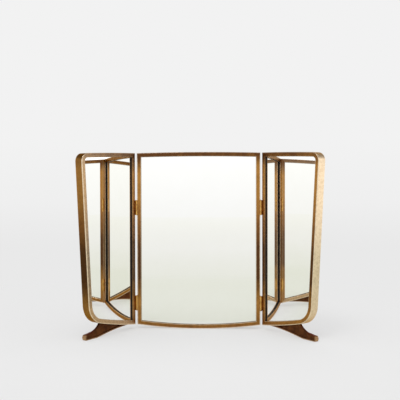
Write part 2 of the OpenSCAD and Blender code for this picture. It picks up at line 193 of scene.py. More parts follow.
def add_node(tree, kind, links=(), stops=(), **settings):
    """Adds a node with its settings and links.

    links are (node or output socket, input) pairs; a node stands for its first output in use.
    A setting named in_Scale or in_6 goes to that input. stops are a ramp's (position, colour
    or grey value) pairs.
    """
    node = tree.nodes.new(kind)
    for key, value in settings.items():
        if key.startswith("in_"):
            socket = key[3:].replace("_", " ")
            node.inputs[int(socket) if socket.isdigit() else socket].default_value = value
        else:
            setattr(node, key, value)
    for output, name in links:
        if isinstance(output, bpy.types.Node):
            output = next(socket for socket in output.outputs if socket.enabled)
        tree.links.new(output, node.inputs[name])
    if stops:
        elements = node.color_ramp.elements
        while len(elements) < len(stops):
            elements.new(0.5)
        for element, (position, colour) in zip(elements, stops):
            element.position = position
            element.color = [colour] * 3 + [1.0] if isinstance(colour, float) else colour
    return node


def new_material(name, **shader):
    """A material with one Principled shader, whose constants are set on its own sockets.

    Returns the material, its node tree, the shader and the object coordinates in metres.
    """
    material = bpy.data.materials.new(name)
    material.use_nodes = True
    tree = material.node_tree
    bsdf = tree.nodes["Principled BSDF"]
    for key, value in shader.items():
        bsdf.inputs[key.replace("_", " ")].default_value = value
    return material, tree, bsdf, add_node(tree, "ShaderNodeTexCoord").outputs["Object"]


def per_mm(size):
    """Scale of a noise whose features are about size millimetres across."""
    return 1.0 / (size * MM)


def patinated_brass(finish, corner_h):
    """Old lacquered brass bar with a cloudy brown patina, rubbed bare on its edges.

    The eye sees a satin metal, golden but for a brown stretch a third of the way up and the
    brown top bar, pale along the edges, with fine scratches along the uprights. The brown
    stretch and the brown top are patina and painted shade, the pale edges wear and painted
    highlight; the wings' lit faces carry painted highlight and the left wing's outer wall
    painted shade. corner_h is the frame's height in metres.
    """
    material, tree, bsdf, place = new_material(
        "patinated_brass_satin", Metallic=1.0, Coat_Weight=0.1, Coat_Roughness=0.12,
        Specular_Tint=finish.brass_edge)
    height = add_node(tree, "ShaderNodeSeparateXYZ", [(place, "Vector")]).outputs["Z"]
    cloudy = add_node(tree, "ShaderNodeTexNoise", [(place, "Vector")], in_Scale=per_mm(55.0),
                      in_Detail=3.0)
    spotty = add_node(tree, "ShaderNodeTexNoise", [(place, "Vector")], in_Scale=per_mm(9.0),
                      in_Detail=5.0)
    # the patina by height, as a share of the frame's height, moved up and down by the clouds,
    # with painted shade in its darker parts
    reach = add_node(tree, "ShaderNodeMath", [(height, 0)], operation="DIVIDE", in_1=corner_h)
    shift = add_node(tree, "ShaderNodeMath", [(cloudy, 0)], operation="MULTIPLY_ADD", in_1=0.16,
                     in_2=-0.08)
    level = add_node(tree, "ShaderNodeMath", [(reach, 0), (shift, 1)], operation="ADD")
    # the dark band at 0.29 to 0.45 and the top bar's brown at 0.99 are patina and painted shade
    by_height = add_node(tree, "ShaderNodeValToRGB", [(level, "Fac")], stops=(
        (0.0, finish.brass_mid), (0.15, finish.brass_light), (0.29, finish.brass_dark),
        (0.45, finish.brass_dark), (0.61, finish.brass_mid), (0.75, finish.brass_light),
        (0.9, finish.brass_light), (0.99, finish.brass_top_patina_and_shade)))
    spots = add_node(tree, "ShaderNodeValToRGB", [(spotty, "Fac")],
                     stops=((0.3, 0.62), (0.6, 1.0)))
    patina = add_node(tree, "ShaderNodeMix", [(by_height, 6), (spots, 7)], data_type="RGBA",
                      blend_type="MULTIPLY", in_0=0.5)
    # the wear and painted light are an attribute on the mesh: 1 where handling rubs the
    # patina off, and where a painted highlight lights a wing's face; below 0 it is painted
    # shade, which darkens the left wing's outer wall
    wear_and_painted_light = add_node(tree, "ShaderNodeAttribute", attribute_name="wear_and_painted_light").outputs["Fac"]
    painted_shade = add_node(tree, "ShaderNodeMapRange", [(wear_and_painted_light, "Value")], in_From_Min=-1.0,
                     in_From_Max=0.0, in_To_Min=0.1, in_To_Max=1.0)
    brown = add_node(tree, "ShaderNodeMix", [(patina.outputs[2], 6), (painted_shade, 7)],
                     data_type="RGBA", blend_type="MULTIPLY", in_0=1.0)
    patchy = add_node(tree, "ShaderNodeMapRange", [(spotty, "Value")], in_From_Min=0.35,
                      in_From_Max=0.6, in_To_Min=0.8, in_To_Max=1.0)
    # the wear and painted highlight fade to a fifth from 35 to 5 mm below the corners, so
    # the top bar stays brown with patina and painted shade
    below_top = add_node(tree, "ShaderNodeMapRange", [(height, "Value")],
                         in_From_Min=corner_h - 35.0 * MM, in_From_Max=corner_h - 5.0 * MM,
                         in_To_Min=1.0, in_To_Max=0.2)
    share = patchy
    for factor in (wear_and_painted_light, below_top):
        share = add_node(tree, "ShaderNodeMath", [(share, 0), (factor, 1)], operation="MULTIPLY")
    colour = add_node(tree, "ShaderNodeMix", [(share, 0), (brown, 6)], data_type="RGBA",
                      in_7=finish.brass_bare_and_highlight)
    tree.links.new(colour.outputs[2], bsdf.inputs["Base Color"])
    # scratches run along the uprights, drawn 1.2 mm apart so that they show
    stretched = add_node(tree, "ShaderNodeMapping", [(place, "Vector")],
                         in_Scale=(1.0, 1.0, 0.06))
    scratches = add_node(tree, "ShaderNodeTexNoise", [(stretched, "Vector")],
                         in_Scale=per_mm(1.2), in_Detail=2.0)
    rough = add_node(tree, "ShaderNodeMapRange", [(scratches, "Value")], in_From_Min=0.3,
                     in_From_Max=0.7, in_To_Min=0.24, in_To_Max=0.36)
    tree.links.new(rough.outputs[0], bsdf.inputs["Roughness"])
    bump = add_node(tree, "ShaderNodeBump", [(scratches, "Height")], in_Strength=0.12,
                    in_Distance=0.3 * MM)
    tree.links.new(bump.outputs[0], bsdf.inputs["Normal"])
    return material


def cast_bronze(finish):
    """Sand-cast bronze foot: a red-brown patina, with a painted highlight along its lower edge
    and toe.

    The eye sees a darker, blunter metal than the bars. The grain of the sand is drawn 1.4 mm
    wide, coarser than real sand, so that it shows.
    """
    material, tree, bsdf, place = new_material(
        "cast_bronze_dark_patina", Metallic=1.0, Coat_Weight=0.15, Coat_Roughness=0.15,
        Specular_Tint=finish.cast_edge)
    cloudy = add_node(tree, "ShaderNodeTexNoise", [(place, "Vector")], in_Scale=per_mm(22.0),
                      in_Detail=4.0)
    patina = add_node(tree, "ShaderNodeValToRGB", [(cloudy, "Fac")],
                      stops=((0.32, finish.cast_dark), (0.72, finish.cast_mid)))
    # the attribute paints a highlight along the lower edge and at the toe
    wear_and_painted_light = add_node(tree, "ShaderNodeAttribute", attribute_name="wear_and_painted_light").outputs["Fac"]
    colour = add_node(tree, "ShaderNodeMix", [(wear_and_painted_light, 0), (patina, 6)], data_type="RGBA",
                      in_7=finish.cast_highlight)
    tree.links.new(colour.outputs[2], bsdf.inputs["Base Color"])
    rough = add_node(tree, "ShaderNodeMapRange", [(cloudy, "Value")], in_From_Min=0.2,
                     in_From_Max=0.8, in_To_Min=0.3, in_To_Max=0.46)
    tree.links.new(rough.outputs[0], bsdf.inputs["Roughness"])
    grain = add_node(tree, "ShaderNodeTexNoise", [(place, "Vector")], in_Scale=per_mm(1.4),
                     in_Detail=2.0)
    bump = add_node(tree, "ShaderNodeBump", [(grain, "Height")], in_Strength=0.25,
                    in_Distance=0.2 * MM)
    tree.links.new(bump.outputs[0], bsdf.inputs["Normal"])
    return material


def drawn_brass(finish, name, light, roughness):
    """Drawn or turned brass, brighter than the bars, with a thin brown tarnish in patches."""
    material, tree, bsdf, place = new_material(name, Metallic=1.0, Roughness=roughness)
    tarnish = add_node(tree, "ShaderNodeTexNoise", [(place, "Vector")], in_Scale=per_mm(12.0),
                       in_Detail=3.0)
    colour = add_node(tree, "ShaderNodeValToRGB", [(tarnish, "Fac")],
                      stops=((0.2, finish.brass_mid), (0.6, light)))
    tree.links.new(colour.outputs[0], bsdf.inputs["Base Color"])
    return material


def painted_slip(finish):
    """Timber slip painted matt black, a little dusty, which the eye sees as a dark line."""
    material, tree, bsdf, place = new_material("black_painted_slip", Roughness=0.6,
                                               Specular_IOR_Level=0.2)
    dust = add_node(tree, "ShaderNodeTexNoise", [(place, "Vector")], in_Scale=per_mm(14.0),
                    in_Detail=4.0)
    colour = add_node(tree, "ShaderNodeValToRGB", [(dust, "Fac")],
                      stops=((0.4, finish.slip_black), (0.8, finish.slip_dusty)))
    tree.links.new(colour.outputs[0], bsdf.inputs["Base Color"])
    return material


def silvered_glass(finish):
    """Silvered float glass, which the eye sees as a clear reflection with a little age mist."""
    material, tree, bsdf, place = new_material("silvered_float_glass", Metallic=1.0)
    mist = add_node(tree, "ShaderNodeTexNoise", [(place, "Vector")], in_Scale=per_mm(60.0),
                    in_Detail=5.0, in_Roughness=0.7)
    colour = add_node(tree, "ShaderNodeValToRGB", [(mist, "Fac")],
                      stops=((0.3, finish.glass), (0.9, finish.glass_mist)))
    tree.links.new(colour.outputs[0], bsdf.inputs["Base Color"])
    rough = add_node(tree, "ShaderNodeMapRange", [(mist, "Value")], in_From_Min=0.4,
                     in_From_Max=0.9, in_To_Min=0.0, in_To_Max=0.012)
    tree.links.new(rough.outputs[0], bsdf.inputs["Roughness"])
    return material


def timber(name, dark, light, grain_mm, roughness, coat):
    """Timber with upright grain: long streaks about grain_mm wide, and short dark pores.

    The pores are drawn 1.1 mm wide, coarser than real ones, so that they show.
    """
    material, tree, bsdf, place = new_material(name, Coat_Weight=coat, Coat_Roughness=0.25)
    long_way = add_node(tree, "ShaderNodeMapping", [(place, "Vector")],
                        in_Scale=(1.0, 1.0, 0.07))
    streaks = add_node(tree, "ShaderNodeTexNoise", [(long_way, "Vector")],
                       in_Scale=per_mm(grain_mm), in_Detail=6.0, in_Roughness=0.65)
    short_way = add_node(tree, "ShaderNodeMapping", [(place, "Vector")],
                         in_Scale=(1.0, 1.0, 0.12))
    pores = add_node(tree, "ShaderNodeTexNoise", [(short_way, "Vector")], in_Scale=per_mm(1.1),
                     in_Detail=2.0)
    base = add_node(tree, "ShaderNodeValToRGB", [(streaks, "Fac")],
                    stops=((0.3, dark), (0.7, light)))
    speck = add_node(tree, "ShaderNodeValToRGB", [(pores, "Fac")],
                     stops=((0.36, 0.55), (0.48, 1.0)))
    colour = add_node(tree, "ShaderNodeMix", [(base, 6), (speck, 7)], data_type="RGBA",
                      blend_type="MULTIPLY", in_0=0.8)
    tree.links.new(colour.outputs[2], bsdf.inputs["Base Color"])
    rough = add_node(tree, "ShaderNodeMapRange", [(streaks, "Value")], in_From_Min=0.3,
                     in_From_Max=0.7, in_To_Min=roughness, in_To_Max=roughness + 0.12)
    tree.links.new(rough.outputs[0], bsdf.inputs["Roughness"])
    bump = add_node(tree, "ShaderNodeBump", [(pores, "Height")], in_Strength=0.2,
                    in_Distance=0.2 * MM)
    tree.links.new(bump.outputs[0], bsdf.inputs["Normal"])
    return material


class Layout:
    """The flat layout's derived sizes, all in millimetres; mm holds the named sizes."""

    # points along the bow, the lower round, the upper round and the crown of a wing
    wing_steps = (40, 32, 24, 30)
    rail_steps = 61
    upright_steps = 24

    def __init__(self, sizes):
        mm = in_millimetres(sizes)
        self.mm = mm
        self.bow_c = mm.bow_r - mm.land_depth
        self.top_r = (mm.half_w ** 2 + mm.crown ** 2) / (2 * mm.crown)
        self.top_c = mm.corner_h + mm.crown - self.top_r
        self.wing_s = mm.half_w + mm.hinge_gap
        self.axis_s = mm.half_w + mm.hinge_gap / 2
        self.outer_s = self.wing_s + mm.wing_w
        self.slant = math.atan(mm.wing_slant / mm.corner_h)
        normal = np.array([math.cos(self.slant), -math.sin(self.slant)])
        upward = np.array([math.sin(self.slant), math.cos(self.slant)])
        self.low_c = self.round_centre(mm.low_round, mm.bow_r, self.bow_c, normal, -upward)
        self.high_c = self.round_centre(mm.top_round, self.top_r, self.top_c, normal, upward)
        self.low_a = math.atan2(self.low_c[1] - self.bow_c, self.low_c[0])
        self.high_a = math.atan2(self.high_c[1] - self.top_c, self.high_c[0])

    def round_centre(self, r, circle_r, circle_z, normal, along):
        """Centre of a round of radius r that touches the outer edge and a large circle.

        It lies on the outer edge's line moved in by r, where that line is circle_r - r from
        the large circle's centre.
        """
        start = np.array([self.outer_s, self.mm.corner_h]) - r * normal
        q = start - np.array([0.0, circle_z])
        reach = math.sqrt((q @ along) ** 2 - q @ q + (circle_r - r) ** 2)
        return start + (reach - q @ along) * along

    def wing_path(self, inset):
        """Outline of a wing without its hinge edge, inset by each value in an array.

        Arcs follow one another: the bow, the lower round, the upper round and the crown.
        Each is its centre plus (radius - inset) times a direction that turns evenly.
        """
        inset = np.asarray(inset, float)[:, None]
        bow_start = -np.arccos((self.wing_s + inset) / (self.mm.bow_r - inset))
        top_end = np.arccos((self.wing_s + inset) / (self.top_r - inset))
        arcs = (
            ((0.0, self.bow_c), self.mm.bow_r, bow_start, self.low_a),
            (self.low_c, self.mm.low_round, self.low_a, -self.slant),
            (self.high_c, self.mm.top_round, -self.slant, self.high_a),
            ((0.0, self.top_c), self.top_r, self.high_a, top_end),
        )
        pieces = []
        for (centre, radius, start, end), steps in zip(arcs, self.wing_steps):
            turn = start + (end - start) * np.linspace(0.0, 1.0, steps)[None, :]
            pieces.append(np.stack([centre[0] + (radius - inset) * np.cos(turn),
                                    centre[1] + (radius - inset) * np.sin(turn)], 2))
        return np.concatenate(pieces, 1)

    def bow_z(self, s, inset=0.0):
        """Height of the bow, inset inwards."""
        return self.bow_c - np.sqrt((self.mm.bow_r - inset) ** 2 - s ** 2)

    def top_z(self, s, inset=0.0):
        """Height of the crown, inset inwards."""
        return self.top_c + np.sqrt((self.top_r - inset) ** 2 - s ** 2)

    def rail_path(self, inset, top):
        """A centre rail from mitre to mitre; the bottom one is flat where it rests."""
        inset = np.asarray(inset, float)[:, None]
        s = (self.mm.half_w - inset) * np.linspace(-1.0, 1.0, self.rail_steps)[None, :]
        z = self.top_z(s, inset) if top else np.maximum(self.bow_z(s, inset), 0.0)
        return np.stack([s, z], 2)

    def upright_path(self, inset, edge, direction):
        """An upright along s = edge, its ends mitred by the inset of each line."""
        inset = np.asarray(inset, float)[:, None]
        s = edge + direction * inset
        low, high = self.bow_z(s, inset), self.top_z(s, inset)
        t = np.linspace(0.0, 1.0, self.upright_steps)[None, :]
        return np.stack([s + 0.0 * t, low + (high - low) * t], 2)

    def placed(self, points, side):
        """Flat points (s, y, z) in millimetres put in place in metres.

        side is left, right or centre. A wing turns forward about its upright axis.
        """
        s, y, z = points[..., 0], points[..., 1], points[..., 2]
        if side != "centre":
            fold = self.mm.left_fold if side == "left" else self.mm.right_fold
            out, back = s - self.axis_s, y + self.mm.axis_proud
            s = self.axis_s + out * math.cos(fold) + back * math.sin(fold)
            y = -self.mm.axis_proud - out * math.sin(fold) + back * math.cos(fold)
        if side == "left":
            s = -s
        return np.stack([s, y - self.mm.frame_d / 2, z], -1) * MM


def quarter(cx, cy, r, start, count=6):
    """Points round a quarter circle from an angle in degrees, turning towards larger angles."""
    a = np.radians(start + np.linspace(0.0, 90.0, count))
    return np.stack([cx + r * np.cos(a), cy + r * np.sin(a)], 1)


def bar_section(mm, face_highlight=0.0, wall_painted_light=0.0):
    """Closed section of a bar as (inset, depth, wear and painted light): an L with rounded edges.

    The value is 1 on the outer front edge, where the patina is rubbed off and a painted
    highlight stands, and less on the other edges. On the front face and the outer wall it is
    the value given for them: painted highlight above 0 and painted shade below. It fades over
    a short way beside the front edges.
    """
    r, eased_r = mm.arris, 0.5
    fade, back_fade = 1.4, 3.0
    inner_wear, back_wear = 0.7, 0.3
    parts = (
        (quarter(r, r, r, 180), 1.0),
        ([[r + fade, 0.0], [mm.face_w - eased_r - fade, 0.0]], face_highlight),
        (quarter(mm.face_w - eased_r, eased_r, eased_r, 270), inner_wear),
        ([[mm.face_w, mm.bar_t], [mm.bar_t, mm.bar_t]], 0.0),
        (quarter(mm.bar_t - eased_r, mm.frame_d - eased_r, eased_r, 0), back_wear),
        (quarter(eased_r, mm.frame_d - eased_r, eased_r, 90), max(back_wear, wall_painted_light)),
        ([[0.0, mm.frame_d - back_fade], [0.0, r + fade]], wall_painted_light),
    )
    return np.concatenate([np.column_stack([points, np.full(len(points), wear_and_painted_light)])
                           for points, wear_and_painted_light in parts])


def grid_faces(rings, steps):
    """Quads that join the rings of a closed tube, and its two end caps, as point numbers."""
    index = np.arange(rings * steps).reshape(rings, steps)
    nxt = np.roll(index, -1, axis=0)
    quads = np.stack([index[:, :-1], nxt[:, :-1], nxt[:, 1:], index[:, 1:]], -1).reshape(-1, 4)
    return quads, index[:, [0, -1]].T


# the finishes by material slot, filled by the first operator
MATERIALS = {}


def grid_object(name, grid, slot_name, side, replaced, sharp_angle=35.0, wear_and_painted_light=None):
    """A closed tube from grid[profile, path, xyz]: rings joined by quads, ends capped.

    The wear and painted light is a value for each point of the profile, or for each point
    of the grid.
    """
    rings, steps = grid.shape[:2]
    quads, caps = grid_faces(rings, steps)
    faces = quads.tolist() + caps.tolist()
    if wear_and_painted_light is not None:
        wear_and_painted_light = np.broadcast_to(wear_and_painted_light.reshape(rings, -1), (rings, steps)).ravel()
    solid_object(name, grid.reshape(-1, 3), faces, slot_name, side, replaced, sharp_angle, wear_and_painted_light)


def solid_object(name, points, faces, slot_name, side, replaced, sharp_angle=35.0, wear_and_painted_light=None):
    """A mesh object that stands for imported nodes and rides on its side's body.

    Points that meet are merged, faces are turned outwards, and the shading is smooth but for
    edges sharper than sharp_angle, in degrees.
    """
    mesh = bpy.data.meshes.new(name)
    mesh.from_pydata(points.tolist(), [], faces)
    if wear_and_painted_light is not None:
        mesh.attributes.new("wear_and_painted_light", "FLOAT", "POINT").data.foreach_set("value", wear_and_painted_light)
    shell = bmesh.new()
    shell.from_mesh(mesh)
    bmesh.ops.remove_doubles(shell, verts=shell.verts, dist=0.001 * MM)
    bmesh.ops.recalc_face_normals(shell, faces=shell.faces)
    shell.to_mesh(mesh)
    shell.free()
    mesh.shade_smooth()
    mesh.set_sharp_from_angle(angle=math.radians(sharp_angle))
    mesh.materials.append(MATERIALS[slot_name])
    piece = bpy.data.objects.new(name, mesh)
    bpy.context.scene.collection.objects.link(piece)
    body = BODIES[side]
    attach(piece, body)
    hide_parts(*replaced)


def sweep_section(layout, section, path, side):
    """A section of (inset, depth) pairs carried along a path that is inset for each pair."""
    flat = path(section[:, 0])
    depth = np.repeat(section[:, 1][:, None], flat.shape[1], 1)
    return layout.placed(np.stack([flat[..., 0], depth, flat[..., 1]], -1), side)


class MIRROR_OT_finishes(bpy.types.Operator):
    """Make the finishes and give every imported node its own"""

    bl_idname = "mirror.finishes"
    bl_label = "Finishes"

    def execute(self, context):
        finish = context.scene.mirror_finish
        MATERIALS.update({
            "patinated_brass": patinated_brass(finish, context.scene.mirror_sizes.corner_h),
            "cast_bronze": cast_bronze(finish),
            "hinge_brass": drawn_brass(finish, "drawn_hinge_brass", finish.hinge_light,
                                       roughness=0.3),
            "brass_screws": drawn_brass(finish, "turned_brass_screw", finish.brass_light,
                                        roughness=0.25),
            "black_slip": painted_slip(finish),
            "mirror_glass": silvered_glass(finish),
            "backboard_timber": timber("stained_mahogany_satin", finish.board_dark,
                                       finish.board_light, grain_mm=5.0, roughness=0.4,
                                       coat=0.25),
            "packing_timber": timber("sawn_softwood", finish.pine_dark, finish.pine,
                                     grain_mm=4.0, roughness=0.7, coat=0.0),
        })
        for part in frame["record"]["subparts"]:
            node = frame["nodes"][part["node"]]
            node.data.materials.clear()
            node.data.materials.append(MATERIALS[part["material_slot"]])
        return {"FINISHED"}


class MIRROR_OT_centre_bars(bpy.types.Operator):
    """Build the four mitred bars of the centre panel"""

    bl_idname = "mirror.centre_bars"
    bl_label = "Centre bars"

    def execute(self, context):
        layout = Layout(context.scene.mirror_sizes)
        half_w = layout.mm.half_w
        section = bar_section(layout.mm)
        paths = {
            "centre_top_rail": lambda inset: layout.rail_path(inset, True),
            "centre_bottom_rail": lambda inset: layout.rail_path(inset, False),
            "centre_left_stile": lambda inset: layout.upright_path(inset, -half_w, 1),
            "centre_right_stile": lambda inset: layout.upright_path(inset, half_w, -1),
        }
        for node, path in paths.items():
            grid = sweep_section(layout, section, path, "centre")
            grid_object(node + "_bar", grid, "patinated_brass", "centre", [node],
                        wear_and_painted_light=section[:, 2])
        return {"FINISHED"}


class MIRROR_OT_wing_bars(bpy.types.Operator):
    """Build each wing's bent bar and its hinge stile"""

    bl_idname = "mirror.wing_bars"
    bl_label = "Wing bars"

    def execute(self, context):
        layout = Layout(context.scene.mirror_sizes)
        # the left wing gets a painted highlight on its front and painted shade on its outer wall,
        # the right one a painted highlight on its outer wall; their hinge stiles get a fifth as
        # much
        sections = {"left": bar_section(layout.mm, face_highlight=0.36, wall_painted_light=-0.3),
                    "right": bar_section(layout.mm, wall_painted_light=0.9)}
        stile_share = 0.2
        for side, section in sections.items():
            bent = sweep_section(layout, section, layout.wing_path, side)
            grid_object(f"{side}_bent_bar", bent, "patinated_brass", side, [f"{side}_bow_bar"],
                        wear_and_painted_light=section[:, 2])
            stile = sweep_section(
                layout, section,
                lambda inset: layout.upright_path(inset, layout.wing_s, 1), side)
            grid_object(f"{side}_hinge_bar", stile, "patinated_brass", side,
                        [f"{side}_hinge_stile"], wear_and_painted_light=stile_share * section[:, 2])
        return {"FINISHED"}


def smooth(start, end, value):
    """A smooth step from 0 at start to 1 at end."""
    t = np.clip((np.asarray(value, float) - start) / (end - start), 0.0, 1.0)
    return t * t * (3.0 - 2.0 * t)


def bezier(points, t):
    """Points on a cubic curve with four control points."""
    p = np.array(points, float)
    t = np.asarray(t)[:, None]
    return ((1 - t) ** 3 * p[0] + 3 * (1 - t) ** 2 * t * p[1]
            + 3 * (1 - t) * t ** 2 * p[2] + t ** 3 * p[3])


def foot_marks(layout):
    """Where along s a foot starts, its sole starts, its sweep starts and its toe ends."""
    mm = layout.mm
    toe = layout.outer_s - mm.wing_slant + mm.toe_reach
    return toe - mm.foot_len, toe - mm.sole_len, toe - mm.sweep_len, toe


def foot_edges(layout):
    """The foot's lower and upper edge heights at stations along its length.

    The lower edge is an ogee, then the flat sole and the toe's lower round. The upper edge
    is the bow, then the hollow sweep and the toe's upper round. The ogee and the sweep are
    cubic curves, whose inner control points lie at shares of the foot's and toe's sizes.
    """
    mm = layout.mm
    start, sole, sweep, toe = foot_marks(layout)
    r = mm.toe_corner
    ogee_along, ogee_up = (0.36, 0.5), 0.42
    sweep_along, sweep_up = (0.4, 0.78), (1.05, 1.3)
    round_top = math.radians(80.0)
    past_bow, overlap = 5.0, 4.0
    curve_steps, body_steps, sweep_steps, round_steps = 200, 130, 50, 14

    along = np.linspace(0.0, 1.0, curve_steps)
    ogee = bezier([[start, layout.bow_z(start)],
                   [start + ogee_along[0] * mm.foot_len, layout.bow_z(start) - mm.rim_h / 3],
                   [start + ogee_along[1] * mm.foot_len, ogee_up * mm.toe_h],
                   [sole, 0.0]], along)
    high = [toe - r + r * math.cos(round_top), mm.toe_h - r + r * math.sin(round_top)]
    hollow = bezier([high,
                     [toe - sweep_along[0] * mm.sweep_len, sweep_up[0] * mm.toe_h],
                     [toe - sweep_along[1] * mm.sweep_len, sweep_up[1] * mm.toe_h],
                     [sweep, layout.bow_z(sweep) + past_bow]], along)[::-1]
    # stations lie closer at the feathered end, at the sweep's start and round the toe
    ease = 0.5 - 0.5 * np.cos(np.linspace(0.0, math.pi, body_steps))
    turn = np.linspace(round_top, 0.0, round_steps)
    s = np.unique(np.concatenate([start + (sweep + overlap - start) * ease,
                                  np.linspace(sweep, toe - r, sweep_steps),
                                  toe - r + r * np.cos(turn)]))
    corner = np.sqrt(np.maximum(r ** 2 - np.maximum(s - (toe - r), 0.0) ** 2, 0.0))
    low = np.interp(s, ogee[:, 0], ogee[:, 1], right=0.0)
    low = np.where(s > toe - r, r - corner, low)
    free = np.interp(s, hollow[:, 0], hollow[:, 1])
    free = np.where(s > high[0], mm.toe_h - r + corner, free)
    up = np.where(s < sweep, layout.bow_z(s), np.minimum(layout.bow_z(s), free))
    return s, low, np.maximum(up, low)


def foot_grid(layout):
    """Surface of a foot as grid[round the section, along the foot, (s, y, z)], and its painted
    highlight.

    Half the thickness is the web's, swelling to the rim along the lower edge, to the flange
    under the bar and to the toe; near both edges it is rounded off by a circle of edge_r.
    """
    mm = layout.mm
    start, sole, sweep, toe = foot_marks(layout)
    s, low, up = foot_edges(layout)
    edge_r, fillet = 2.2, 2.5
    solid_from, solid_to = sole + mm.sole_len / 3 - 4.0, sole + mm.sole_len / 3 + 8.0
    flange_fade, nose_len, nose_share = 8.0, 5.0, 0.35
    edge_highlight, toe_highlight = 0.75, 0.5
    # distances from an edge, closer round it and over the fillet of the rim
    steps = np.array([0.0, 0.08, 0.25, 0.55, 1.0, 1.6, 2.2, 3.2,
                      4.4, 5.4, 6.2, 7.0, 7.8, 8.8, 10.5, 13.0])
    middle = 0.5 * (low + up)
    from_low = np.minimum(low[None] + steps[:, None], middle[None])
    from_up = np.maximum(up[None] - steps[::-1, None], middle[None])
    height = np.concatenate([from_low, from_up])

    def swell(distance, reach):
        """1 within reach of an edge and 0 past it, eased over the fillet."""
        return 1.0 - smooth(reach - fillet / 2, reach + fillet / 2, distance)

    below, above = height - low[None], up[None] - height
    toeward = smooth(solid_from, solid_to, s)[None]
    flange = swell(above, mm.flange_t) * (1.0 - smooth(sweep - flange_fade, sweep, s))[None]
    amount = np.maximum(np.maximum(swell(below, mm.rim_h), flange), toeward)
    half = mm.web_t / 2 + (mm.foot_t - mm.web_t) / 2 * amount
    # under the bar the upper edge stays square
    near_bar = (above < below) & (s < sweep)[None]
    edge = np.where(near_bar, edge_r, np.minimum(np.minimum(below, above), edge_r))
    half = half - edge_r + np.sqrt(np.maximum(edge_r ** 2 - (edge_r - edge) ** 2, 0.0))
    half = half * np.sqrt(1.0 - nose_share * smooth(toe - nose_len, toe, s))[None]
    front = np.stack([np.broadcast_to(s, half.shape), mm.foot_mid - half, height], -1)
    back = np.stack([np.broadcast_to(s, half.shape), mm.foot_mid + half, height], -1)
    # a painted highlight along the lower edge, less towards the feathered end, and at the end
    # of the toe
    lit_lower_edge = (1.0 - smooth(1.0, 4.5, below)) * smooth(start + 10.0, start + 60.0, s)[None]
    wear_and_painted_light = np.maximum(edge_highlight * lit_lower_edge, toe_highlight * smooth(toe - 7.0, toe - 1.0, s)[None])
    return np.concatenate([front, back[::-1]]), np.concatenate([wear_and_painted_light, wear_and_painted_light[::-1]])


class MIRROR_OT_feet(bpy.types.Operator):
    """Build the two cast feet"""

    bl_idname = "mirror.feet"
    bl_label = "Feet"

    def execute(self, context):
        layout = Layout(context.scene.mirror_sizes)
        grid, wear_and_painted_light = foot_grid(layout)
        for side in ("left", "right"):
            grid_object(f"{side}_cast_foot", layout.placed(grid, side), "cast_bronze", side,
                        [f"{side}_foot"], sharp_angle=50.0, wear_and_painted_light=wear_and_painted_light)
        return {"FINISHED"}


def screw_heads(mm, places):
    """Slotted domes at (s, z) places, as grid[head, round the section, along, (s, y, z)].

    Each section is a chord of the head, square to the slot. Over it stands the height of a
    sphere, or the slot's floor where that is lower. Each head is turned 2.4 radians further
    than the last, so the slots point all ways, and it starts a little inside the board.
    """
    head_turn, slot_wall, sunk = 2.4, 0.02, 0.2
    across_steps, along_steps = 7, 11
    dome_r = (mm.screw_r ** 2 + mm.screw_h ** 2) / (2 * mm.screw_h)
    beside = np.linspace(mm.slot_w / 2 + slot_wall, mm.screw_r, across_steps)
    across = np.concatenate([-beside[::-1], [-mm.slot_w / 2, mm.slot_w / 2], beside])
    chord = np.sqrt(np.maximum(mm.screw_r ** 2 - across ** 2, 0.0))
    along = np.linspace(-1.0, 1.0, along_steps)[:, None] * chord[None]
    across = np.broadcast_to(across, along.shape)
    rise = np.sqrt(dome_r ** 2 - across ** 2 - along ** 2) - dome_r + mm.screw_h
    in_slot = np.abs(across) <= mm.slot_w / 2
    rise = np.where(in_slot, np.minimum(rise, mm.screw_h - mm.slot_depth), rise)
    across, along = np.concatenate([across, across[::-1]]), np.concatenate([along, along[::-1]])
    depth = mm.frame_d - mm.board_recess + np.concatenate([rise, np.full_like(rise, -sunk)])
    turn = head_turn * np.arange(len(places))[:, None, None]
    s = places[:, 0, None, None] + across * np.cos(turn) - along * np.sin(turn)
    height = places[:, 1, None, None] + across * np.sin(turn) + along * np.cos(turn)
    return np.stack([s, np.broadcast_to(depth, s.shape), height], -1)


def screw_places(layout):
    """The (s, z) places of the centre panel's back screws, and of a wing's.

    They stand evenly up each upright edge, screw_inset inside it.
    """
    mm = layout.mm
    inset, centre_count, wing_count = mm.screw_inset, 4, 3
    inner, near = mm.half_w - inset, layout.wing_s + inset
    inner_z = np.linspace(layout.bow_z(inner) + inset, layout.top_z(inner) - inset,
                          centre_count)
    near_z = np.linspace(layout.bow_z(layout.wing_s) + 2 * inset,
                         layout.top_z(layout.wing_s) - 2 * inset, wing_count)
    outer_z = np.linspace(layout.low_c[1], layout.high_c[1], wing_count)
    outer = (layout.outer_s - (mm.corner_h - outer_z) * math.tan(layout.slant)
             - inset / math.cos(layout.slant))
    centre = np.concatenate([np.stack([np.full(centre_count, s), inner_z], 1)
                             for s in (-inner, inner)])
    wing = np.concatenate([np.stack([np.full(wing_count, near), near_z], 1),
                           np.stack([outer, outer_z], 1)])
    return centre, wing


class MIRROR_OT_screws(bpy.types.Operator):
    """Build the slotted domed heads of the back screws"""

    bl_idname = "mirror.screws"
    bl_label = "Screw heads"

    def execute(self, context):
        layout = Layout(context.scene.mirror_sizes)
        centre, wing = screw_places(layout)
        for side, places in (("centre", centre), ("left", wing), ("right", wing)):
            heads = layout.placed(screw_heads(layout.mm, places), side)
            rings, steps = heads.shape[1:3]
            quads, caps = grid_faces(rings, steps)
            first = rings * steps * np.arange(len(heads))[:, None, None]
            faces = (quads + first).reshape(-1, 4).tolist()
            faces += (caps + first).reshape(-1, rings).tolist()
            solid_object(f"{side}_slotted_heads", heads.reshape(-1, 3), faces, "brass_screws",
                         side, [f"{side}_back_screws"])
        return {"FINISHED"}


